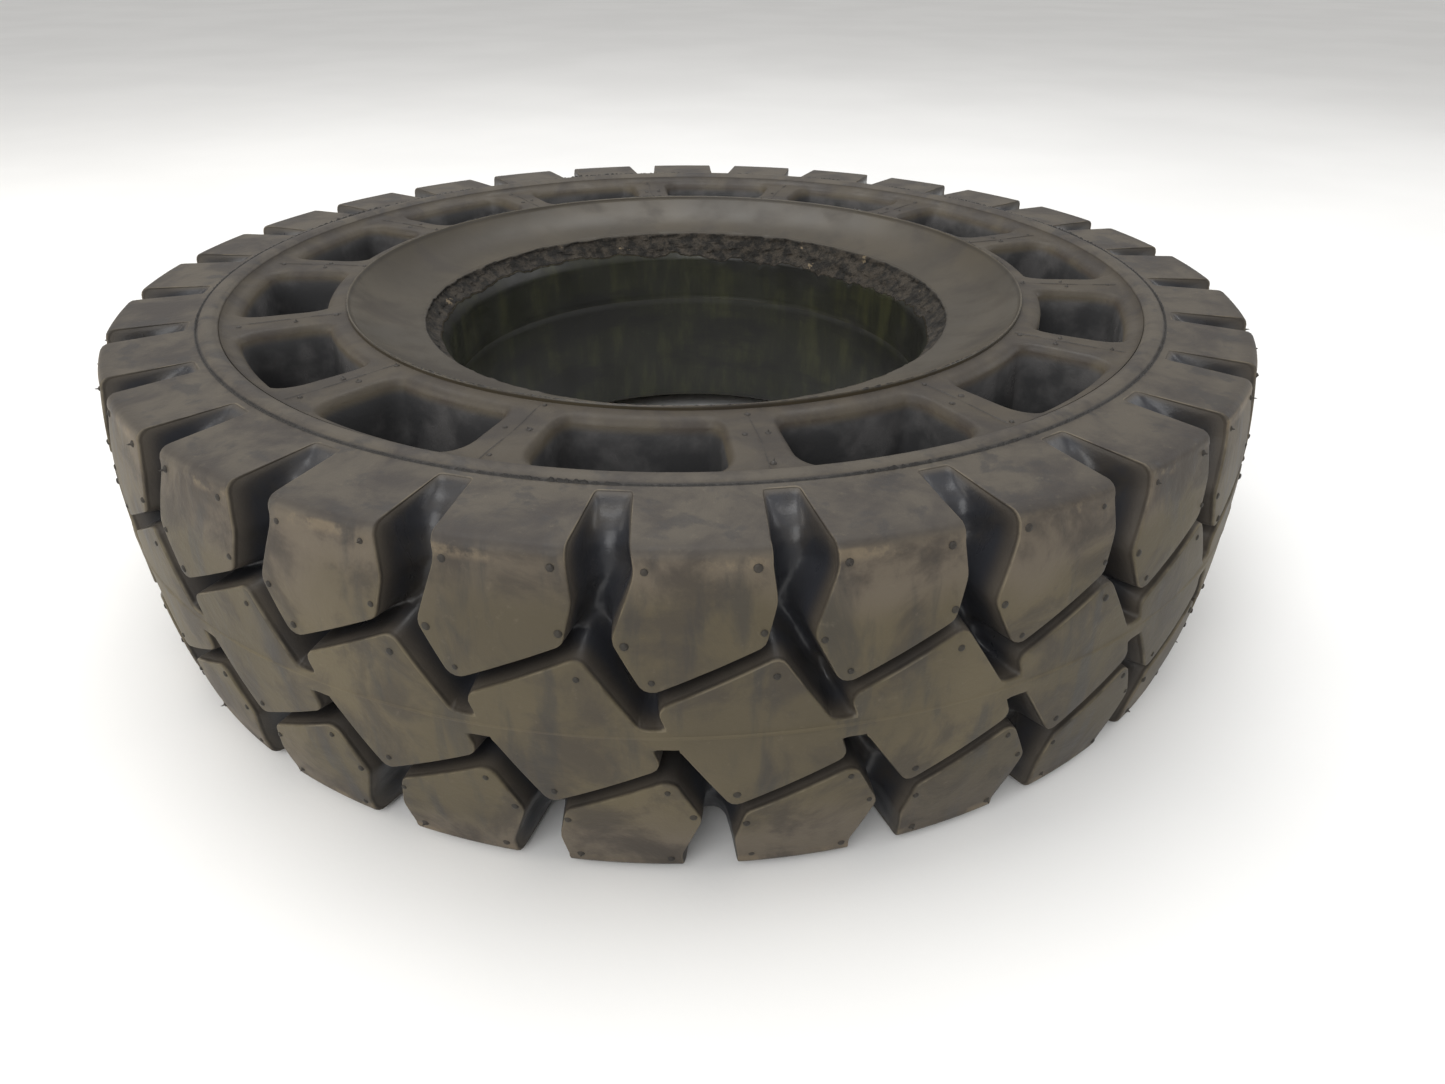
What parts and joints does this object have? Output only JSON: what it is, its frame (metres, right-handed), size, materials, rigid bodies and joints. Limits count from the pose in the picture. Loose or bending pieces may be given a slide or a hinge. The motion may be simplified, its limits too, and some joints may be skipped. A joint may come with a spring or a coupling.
{
  "type": "solid resilient tyre",
  "caption": "Solid rubber industrial truck tyre with side apertures, block tread, hard base and embedded steel bead hoops.",
  "frame": {"origin": "centre of the bore, on the tyre's mid-plane", "axes": "+Z along the tyre's axis, up when the tyre lies flat; -Y is the front, where a shoulder lug is centred"},
  "size_m": [0.678, 0.678, 0.172],
  "materials": {
    "tread_rubber": "dusty matte tread compound, satin in the grooves",
    "cushion_rubber": "smooth moulded satin",
    "base_rubber": "hard smooth moulded satin, torn at the toe",
    "bead_wire": "bronze-coated drawn wire"
  },
  "bodies": {
    "root": {"tread_compound": "tread_rubber", "cushion_compound": "cushion_rubber", "heel_compound": "base_rubber", "bead_hoop_1": "bead_wire", "bead_hoop_2": "bead_wire", "bead_hoop_3": "bead_wire", "bead_hoop_4": "bead_wire", "bead_hoop_5": "bead_wire", "bead_hoop_6": "bead_wire"}
  },
  "joints": []
}
